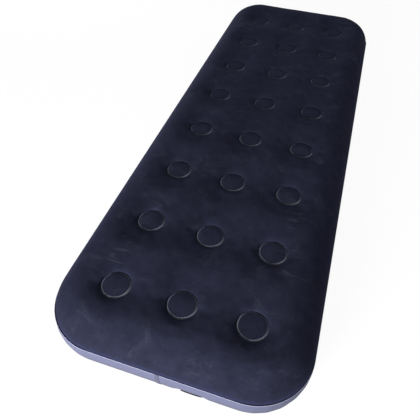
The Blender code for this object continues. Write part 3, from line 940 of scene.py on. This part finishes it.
def wall_surface(form, stations, degrees, proud=0.0):
    """Places on the band's outer face, at stations of the outline and profile angles."""
    angle = np.radians(degrees)
    reach, rise = side_point(form, angle)
    top = np.exp(-((degrees - WALL_TOP + 0.7) / 0.9) ** 2)
    low = np.exp(-((degrees - WALL_LOW - 0.9) / 1.1) ** 2)
    free = ease(WALL_LOW, WALL_LOW + 14, degrees) * (1 - ease(WALL_TOP - 9, WALL_TOP - 1, degrees))
    x = stations[:, 0] + stations[:, 2] * form.corner_radius
    y = stations[:, 1] + stations[:, 3] * form.corner_radius
    slow = waves(x + rise * 1.7, y - rise, 8.0, WALL_SEED)
    turn = np.abs(stations[:, 2] * stations[:, 3]) * 2
    path = np.arctan2(stations[:, 3], stations[:, 2]) * form.corner_radius
    fold = np.sin(path * 2 * math.pi / form.fold + 2.2 * slow)
    fold *= 0.5 + 0.5 * waves(x, y, 14.0, FOLD_SEED)
    swell = form.wall_swell * slow + form.wall_fold * fold * turn
    out = reach + form.lip * top + form.lip / 2 * low + swell * free + proud
    places = np.column_stack((stations[:, :2] + stations[:, 2:] * out[:, None], rise))
    return flatten_at_valve(places, form.flat_near, form.flat_far, proud)


def grid_faces(rows, columns, closed):
    """Quads between rows of points, which close into a ring or not."""
    faces = []
    for row in range(rows - 1):
        low, high = row * columns, (row + 1) * columns
        for number in range(columns if closed else columns - 1):
            after = (number + 1) % columns
            faces.append((low + number, high + number, high + after, low + after))
    return faces


def cut_by_cylinder(piece, matrix, radius, depth, sides=48):
    """Cuts a round hole through a piece, along the Z axis of a placing matrix."""
    deselect()
    bpy.ops.mesh.primitive_cylinder_add(vertices=sides, radius=radius, depth=depth)
    cutter = bpy.context.object
    cutter.matrix_world = matrix
    step = piece.modifiers.new("hole", "BOOLEAN")
    step.operation = "DIFFERENCE"
    step.solver = "EXACT"
    step.object = cutter
    apply_modifiers(piece)
    bpy.data.objects.remove(cutter)


class AIRMATTRESS_OT_wall_band(bpy.types.Operator):
    """Smooth wall band with its welded lips, and the hole for the valve"""
    bl_idname = "air_mattress.wall_band"
    bl_label = "Wall Band"

    def execute(self, context):
        form = context.scene.mattress_form
        ring = outline_stations(form, BAND_SPACING)
        profile = [WALL_TOP - drop for drop in BAND_LIP_DROPS]
        profile += list(np.linspace(WALL_TOP - 6.5, WALL_LOW + 4.5, BAND_MIDDLE_ROWS))
        profile += [WALL_LOW + rise for rise in BAND_FOOT_RISES]
        stations = np.tile(ring, (len(profile), 1))
        places = wall_surface(form, stations, np.repeat(profile, len(ring)))
        piece = bare_mesh("wall_band", places, grid_faces(len(profile), len(ring), True))
        final = read_points(piece)
        top_edge = places[0, 2]
        # Painted highlight: the top 3 mm of the band, its welded lip.
        store_mask(piece, "edge", ease(top_edge - 0.0030, top_edge - 0.0004, final[:, 2]))
        # Painted shade: 1 low on the band, fading out between 0.058 and 0.112 m high.
        store_mask(piece, "under", 1 - ease(0.058, 0.112, final[:, 2]))
        thicken(piece, form.film)
        hole = valve_reach("insert_seal")[3] + 2 * form.gap
        cut_by_cylinder(piece, VALVE, hole, 4 * form.weld_width, 64)
        dress(piece, "wall_vinyl", "mattress", "side_wall")
        return {"FINISHED"}


class AIRMATTRESS_OT_joint_tape(bpy.types.Operator):
    """Tape welded over the upright joint in the wall band"""
    bl_idname = "air_mattress.joint_tape"
    bl_label = "Joint Tape"

    def execute(self, context):
        form = context.scene.mattress_form
        low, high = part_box("wall_seam_tape")
        across = np.linspace(low.x, high.x, TAPE_COLUMNS)
        foot = form.corner_radius - HALF_LENGTH
        ring = np.array([(x, foot, 0.0, -1.0) for x in across])
        profile = np.linspace(WALL_TOP - 0.2, WALL_LOW + 0.6, TAPE_ROWS)
        stations = np.tile(ring, (len(profile), 1))
        crown = np.tile(np.sin(np.linspace(0, math.pi, len(across))) ** 0.5, len(profile))
        places = wall_surface(form, stations, np.repeat(profile, len(ring)), form.gap)
        places[:, 1] -= crown * form.gap
        faces = [face[::-1] for face in grid_faces(len(profile), len(ring), False)]
        piece = bare_mesh("joint_tape", places, faces)
        if sum(face.normal.y for face in piece.data.polygons) > 0:
            piece.data.flip_normals()
        # The tape takes the band's painted shade at 0.85 all over, so it is evenly darker and
        # greyer.
        store_mask(piece, "under", np.full(len(piece.data.vertices), 0.85))
        thicken(piece, form.film / 2, 1.0)
        dress(piece, "wall_vinyl", "mattress", "wall_seam_tape")
        return {"FINISHED"}


def select_faces(test):
    """Selects, in edit mode, the faces whose middle and normal pass a test."""
    bpy.ops.mesh.select_all(action="DESELECT")
    bpy.ops.mesh.select_mode(type="FACE")
    bm = bmesh.from_edit_mesh(bpy.context.object.data)
    for face in bm.faces:
        face.select_set(bool(test(face.calc_center_median(), face.normal)))
    bm.select_flush_mode()
    bmesh.update_edit_mesh(bpy.context.object.data)


def turned(name, sides, profile, closed):
    """Turns (radius, height) points round Z, by extruding and scaling a circle.

    A closed profile makes a ring. An open one starts and ends near the axis, where it
    is capped.
    """
    deselect()
    radius, height = profile[0]
    bpy.ops.mesh.primitive_circle_add(vertices=sides, radius=radius, location=(0, 0, height))
    piece = bpy.context.object
    piece.name = piece.data.name = name
    bpy.ops.object.transform_apply(location=True)
    bpy.ops.object.mode_set(mode="EDIT")
    bpy.ops.mesh.select_mode(type="EDGE")
    bpy.ops.mesh.select_all(action="SELECT")
    if not closed:
        bpy.ops.mesh.edge_face_add()
        bpy.ops.mesh.select_mode(type="EDGE")
        bpy.ops.mesh.select_all(action="SELECT")
    steps = list(zip(profile, profile[1:] + (profile[:1] if closed else [])))
    for (radius, height), (wider, higher) in steps:
        bpy.ops.mesh.extrude_edges_move(
            TRANSFORM_OT_translate={"value": (0, 0, higher - height)})
        bpy.ops.transform.resize(value=(wider / radius, wider / radius, 1),
                                 center_override=(0, 0, higher))
    if not closed:
        bpy.ops.mesh.edge_face_add()
    close_up()
    return piece


def round_edges(piece, width, segments=2):
    """Rounds a piece's sharp edges and shades it smooth between them."""
    step = piece.modifiers.new("rounded", "BEVEL")
    step.width = width
    step.segments = segments
    step.limit_method = "ANGLE"
    step.angle_limit = math.radians(40)
    apply_modifiers(piece)
    smooth_shade(piece, VALVE_SHARP)


def seat_in_valve(piece):
    """Moves a piece from its own axis onto the valve's."""
    pick(piece)
    piece.matrix_world = VALVE
    bpy.ops.object.transform_apply(location=True, rotation=True, scale=True)


def valve_reach(node):
    """A valve node's lowest and highest point along its axis, and its least and largest
    radius, without its hinge tab. The axis starts at the wall's face.
    """
    inverse = VALVE.inverted()
    points = np.array([inverse @ vert.co for vert in frame["nodes"][node].data.vertices])
    tab = (points[:, 0] > 0) & (np.abs(points[:, 1]) < TAB_STRIP)
    radii = np.hypot(points[~tab, 0], points[~tab, 1])
    return points[:, 2].min(), points[:, 2].max(), radii.min(), radii.max()


class AIRMATTRESS_OT_valve_socket(bpy.types.Operator):
    """Socket welded inside the wall, and the rubber seal that sits on it"""
    bl_idname = "air_mattress.valve_socket"
    bl_label = "Valve Socket and Seal"

    def execute(self, context):
        form = context.scene.valve_form
        bottom, top, bore, flange = valve_reach("valve_socket")
        tube = bore + form.socket_wall
        under = top - form.flange
        profile = [(bore, top), (flange, top), (flange, under), (tube + form.socket_wall, under),
                   (tube, under - form.socket_wall), (tube, bottom), (bore, bottom)]
        socket = turned("socket", VALVE_SIDES, profile, True)
        round_edges(socket, form.edge)
        seat_in_valve(socket)
        dress(socket, "valve_plastic", "mattress", "valve_socket")
        low, high, inner, outer = valve_reach("insert_seal")
        profile = [(inner, high), (outer, high), (outer, low), (inner, low)]
        seal = turned("rubber_seal", VALVE_SIDES, profile, True)
        round_edges(seal, form.edge * 0.8, 3)
        seat_in_valve(seal)
        dress(seal, "valve_rubber", "seal", "insert_seal")
        return {"FINISHED"}


class AIRMATTRESS_OT_valve_insert(bpy.types.Operator):
    """Screwed insert: knurled flange, throat, thread and the grid with its check disc"""
    bl_idname = "air_mattress.valve_insert"
    bl_label = "Valve Insert and Check Disc"

    def execute(self, context):
        form = context.scene.valve_form
        bottom, top, _, flange = valve_reach("valve_insert")
        body = valve_reach("insert_seal")[2] - form.thread_gap
        under, grid = top - form.flange, bottom + form.grid
        throat, guide = form.throat, form.stem + form.thread_gap
        profile = [(throat, top), (flange, top), (flange, under), (body, under),
                   (body - form.thread, under - form.thread), (body - form.thread, bottom),
                   (guide, bottom), (guide, grid), (throat, grid)]
        insert = turned("screw_insert", VALVE_SIDES, profile, True)
        self.knurl(insert, flange - form.edge, under, top, form)
        round_edges(insert, form.edge * 0.7)
        for number in range(form.grid_holes):
            turn = Matrix.Rotation(2 * math.pi * number / form.grid_holes, 4, "Z")
            place = turn @ Matrix.Translation((form.grid_circle, 0, (bottom + grid) / 2))
            cut_by_cylinder(insert, place, form.grid_hole, form.grid * 3, 24)
        thread = self.thread(body - form.thread, body - form.thread_gap / 3, under, bottom, form)
        pick(insert)
        thread.select_set(True)
        bpy.ops.object.join()
        smooth_shade(insert, VALVE_SHARP)
        seat_in_valve(insert)
        dress(insert, "valve_plastic", "insert", "valve_insert")
        self.check_disc(form)
        return {"FINISHED"}

    def knurl(self, insert, flange, under, top, form):
        """Raises every other face round the flange, and draws out the hinge tab."""
        edit(insert)
        step = 2 * math.pi / VALVE_SIDES
        middle = (under + top) / 2

        def rim(centre):
            return centre.xy.length > flange and abs(centre.z - middle) < form.edge

        def alternate(centre, normal):
            number = round(math.atan2(centre.y, centre.x) / step - 0.5)
            return rim(centre) and number % 2 and centre.x < flange * 0.94

        select_faces(alternate)
        bpy.ops.mesh.extrude_region_move(TRANSFORM_OT_translate={"value": (0, 0, 0)})
        bpy.ops.transform.shrink_fatten(value=form.edge)
        select_faces(lambda centre, normal: rim(centre) and centre.x > 0
                     and abs(centre.y) < form.hinge_width / 2)
        bpy.ops.mesh.extrude_region_move(
            TRANSFORM_OT_translate={"value": (HINGE.x - form.edge - flange, 0, 0)})
        leave_edit()

    def thread(self, core, crest, top, bottom, form):
        """A helical ridge round the insert's body."""
        bm = bmesh.new()
        half = form.thread
        start = bottom + form.grid
        root = core - half / 2
        corners = [(root, -half), (crest, -half / 3), (crest, half / 3), (root, half)]
        verts = [bm.verts.new((radius, 0, start + rise)) for radius, rise in corners]
        bm.faces.new(verts)
        mesh = bpy.data.meshes.new("thread")
        bm.to_mesh(mesh)
        bm.free()
        ridge = link_object("thread", mesh)
        step = ridge.modifiers.new("helix", "SCREW")
        step.steps = step.render_steps = 64
        step.screw_offset = form.pitch
        step.iterations = int((top - start - half) / form.pitch)
        step.use_merge_vertices = False
        apply_modifiers(ridge)
        edit(ridge)
        close_up()
        return ridge

    def check_disc(self, form):
        """The rubber disc on its barbed stem."""
        low, high, _, disc = valve_reach("check_poppet")
        face = low + form.disc
        pin = form.stem / 3
        profile = [(pin, low), (disc - form.edge, low), (disc, face), (form.stem, face),
                   (form.stem, high - form.barb), (form.stem * 1.6, high - form.barb),
                   (form.stem, high), (pin, high)]
        piece = turned("check_disc", 64, profile, False)
        round_edges(piece, form.edge * 0.7)
        seat_in_valve(piece)
        dress(piece, "valve_rubber", "poppet", "check_poppet")


class AIRMATTRESS_OT_valve_lid(bpy.types.Operator):
    """Lid with its stopper ring, finger lip and moulded hinge web"""
    bl_idname = "air_mattress.valve_lid"
    bl_label = "Valve Lid"

    def execute(self, context):
        form = context.scene.valve_form
        stopper_end, top, _, outer = valve_reach("valve_lid")
        under = top - form.flange
        stopper = form.throat - form.stopper_gap
        inner = stopper - form.flange
        dish = top - form.dish
        pin = form.stem / 2
        profile = [(pin, under), (inner, under), (inner, stopper_end), (stopper, stopper_end),
                   (stopper, under), (outer, under), (outer, top), (outer - form.rim, top),
                   (outer - form.rim - form.dish, dish), (form.stem + form.rim, dish),
                   (form.stem, dish + form.dish / 2), (pin, dish + form.dish / 2)]
        lid = turned("lid", VALVE_SIDES, profile, False)
        edit(lid)

        def rim(centre):
            return centre.xy.length > outer - form.edge and centre.z > under + form.edge

        select_faces(lambda centre, normal: rim(centre) and centre.x < 0
                     and abs(centre.y) < form.hinge_width * 0.6)
        bpy.ops.mesh.extrude_region_move(TRANSFORM_OT_translate={"value": (-form.lip, 0, 0)})
        bpy.ops.transform.resize(value=(1, 0.7, 0.6), center_override=(0, 0, top))
        select_faces(lambda centre, normal: rim(centre) and centre.x > 0
                     and abs(centre.y) < form.hinge_width / 2)
        bpy.ops.mesh.extrude_region_move(
            TRANSFORM_OT_translate={"value": (HINGE.x - 2 * form.edge - outer, 0, 0)})
        leave_edit()
        round_edges(lid, form.edge * 0.7)
        seat_in_valve(lid)
        dress(lid, "valve_plastic", "lid", "valve_lid")
        self.hinge_web(form)
        return {"FINISHED"}

    def hinge_web(self, form):
        """A thin, slightly bowed web between the insert's tab and the lid's."""
        deselect()
        height = form.flange * 1.5
        bpy.ops.mesh.primitive_cube_add(size=1, location=(HINGE.x, 0, HINGE.z))
        web = bpy.context.object
        web.name = web.data.name = "hinge_web"
        web.scale = (form.flange / 3, form.hinge_width * 0.75, height)
        bpy.ops.object.transform_apply(location=True, scale=True)
        edit(web)
        select_faces(lambda centre, normal: abs(normal.z) < 0.5)
        bpy.ops.mesh.subdivide(number_cuts=7)
        leave_edit()
        places = read_points(web)
        share = (places[:, 2] - HINGE.z) / height
        places[:, 0] += form.edge * (1 - (2 * share) ** 2)
        write_points(web, places)
        round_edges(web, form.edge / 5)
        seat_in_valve(web)
        give_finish(web, "valve_plastic")
        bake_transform(web)


class AIRMATTRESS_OT_coil_tubes(bpy.types.Operator):
    """Upright tubes that hold the dimples down, each with its welded ends and vents"""
    bl_idname = "air_mattress.coil_tubes"
    bl_label = "Coil Tubes"

    def execute(self, context):
        form = context.scene.mattress_form
        wide, narrow = RING_RADIUS, RING_RADIUS - 2 * form.dome / 3
        tall = BEAM_TOP - BEAM_BOTTOM
        heights = np.linspace(0.04, 0.96, 13)
        waist = [(wide - (wide - narrow) * math.sin(math.pi * share) ** 2,
                  BEAM_BOTTOM + tall * share) for share in heights]
        profile = [(wide - form.weld_width, BEAM_BOTTOM), (wide, BEAM_BOTTOM), *waist,
                   (wide, BEAM_TOP), (wide - form.weld_width, BEAM_TOP)]
        pattern = turned("coil_pattern", 48, profile, True)
        edit(pattern)
        inner = wide - form.weld_width
        select_faces(lambda centre, normal: centre.xy.length < inner + form.gap
                     and BEAM_BOTTOM + form.gap < centre.z < BEAM_TOP - form.gap)
        bpy.ops.mesh.delete(type="FACE")
        leave_edit()
        thicken(pattern, form.film)
        middle = Matrix.Translation((0, 0, (BEAM_BOTTOM + BEAM_TOP) / 2))
        across = middle @ Matrix.Rotation(math.pi / 2, 4, "Y")
        cut_by_cylinder(pattern, across, form.vent, 4 * wide, 32)
        for node, (low, high) in zip(BEAM_NODES, BEAM_BOXES):
            centre = (low + high) / 2
            tube = link_object(node.replace("coil_beam", "coil_tube"), pattern.data.copy())
            tube.data.transform(Matrix.Translation((centre.x, centre.y, 0)))
            dress(tube, "coil_vinyl", "mattress", node)
        bpy.data.objects.remove(pattern)
        return {"FINISHED"}


class AIRMATTRESS_OT_stage(bpy.types.Operator):
    """Camera, floor, lamps and world"""
    bl_idname = "air_mattress.stage"
    bl_label = "Stage"

    eye = (0.1955, -1.2499, 1.0756)
    tilt_degrees = (41.869, -1.351, 17.859)
    lamps_aim = Vector((0, -0.2, 0.1))

    def execute(self, context):
        settings = context.scene.mattress_stage
        self.camera(context, settings)
        self.floor(context)
        self.lamp("key", (-0.58, -2.90, 1.01), 1.0, settings.key)
        self.lamp("overhead", (1.8, 0.4, 3.2), 3.0, settings.fill)
        self.lamp("rear", (-2.2, 2.2, 0.50), 1.6, settings.rear)
        self.world(context, settings)
        context.scene.view_settings.view_transform = "Standard"
        return {"FINISHED"}

    def camera(self, context, settings):
        data = bpy.data.cameras.new("camera")
        data.lens = settings.lens
        data.sensor_width = 36.0
        camera = link_object("camera", data)
        camera.location = self.eye
        camera.rotation_euler = [math.radians(part) for part in self.tilt_degrees]
        context.scene.camera = camera

    def floor(self, context):
        """A pale floor that stays white in the picture but takes the soft shadow."""
        deselect()
        bpy.ops.mesh.primitive_plane_add(size=FLOOR_SIZE, location=(0, 0, -FLOOR_DROP))
        floor = context.object
        floor.name = "floor"
        bpy.ops.object.transform_apply(location=True)
        made = Finish("floor", Roughness=0.9)
        made.shader.inputs["Base Color"].default_value = (
            *context.scene.mattress_colours.floor, 1.0)
        glow = made.node("ShaderNodeEmission", {}, {"Color": (1, 1, 1), "Strength": FLOOR_GLOW})
        plain = Term(made, made.shader.outputs[0])
        inputs = {0: made.seen() * FLOOR_GLOW_SHARE, 1: plain, 2: glow}
        made.surface(made.node("ShaderNodeMixShader", {}, inputs))
        floor.data.materials.append(made.material)

    def lamp(self, name, place, size, power):
        data = bpy.data.lights.new(name, "AREA")
        data.shape = "DISK"
        data.size = size
        data.energy = power
        lamp = link_object(name, data)
        lamp.location = place
        way = self.lamps_aim - lamp.location
        lamp.rotation_euler = way.to_track_quat("-Z", "Y").to_euler()

    def world(self, context, settings):
        world = context.scene.world = bpy.data.worlds.new("studio")
        made = Nodes(world)
        level = made.seen() * (1 - settings.daylight) + settings.daylight
        inputs = {"Color": (1, 1, 1), "Strength": level}
        made.surface(made.node("ShaderNodeBackground", {}, inputs))


OPERATORS = (
    AIRMATTRESS_OT_stage, AIRMATTRESS_OT_top_film, AIRMATTRESS_OT_base_film,
    AIRMATTRESS_OT_wall_band, AIRMATTRESS_OT_joint_tape, AIRMATTRESS_OT_coil_tubes,
    AIRMATTRESS_OT_valve_socket, AIRMATTRESS_OT_valve_insert, AIRMATTRESS_OT_valve_lid,
)


GROUPS = {
    "mattress_form": MattressForm,
    "valve_form": ValveForm,
    "mattress_colours": MattressColours,
    "mattress_stage": MattressStage,
}


class AIRMATTRESS_PT_sidebar(bpy.types.Panel):
    """Lists the mattress's sizes, colours and pieces"""
    bl_idname = "AIRMATTRESS_PT_sidebar"
    bl_label = "Air Mattress"
    bl_space_type = "VIEW_3D"
    bl_region_type = "UI"
    bl_category = "Air Mattress"

    def draw(self, context):
        for group in GROUPS:
            settings = getattr(context.scene, group)
            box = self.layout.box()
            for name in settings.__annotations__:
                box.prop(settings, name)
        for operator in OPERATORS:
            self.layout.operator(operator.bl_idname)


def register():
    """Registers the classes and the settings that the scene holds."""
    for part in (*GROUPS.values(), *OPERATORS, AIRMATTRESS_PT_sidebar):
        bpy.utils.register_class(part)
    for name, group in GROUPS.items():
        setattr(bpy.types.Scene, name, PointerProperty(type=group))


def unregister():
    """Takes the classes and settings away again."""
    for name in GROUPS:
        delattr(bpy.types.Scene, name)
    for part in (AIRMATTRESS_PT_sidebar, *reversed(OPERATORS), *GROUPS.values()):
        bpy.utils.unregister_class(part)


def main():
    """Makes every piece and the stage."""
    register()
    for operator in OPERATORS:
        group, name = operator.bl_idname.split(".")
        getattr(getattr(bpy.ops, group), name)()


if __name__ == "__main__":
    main()
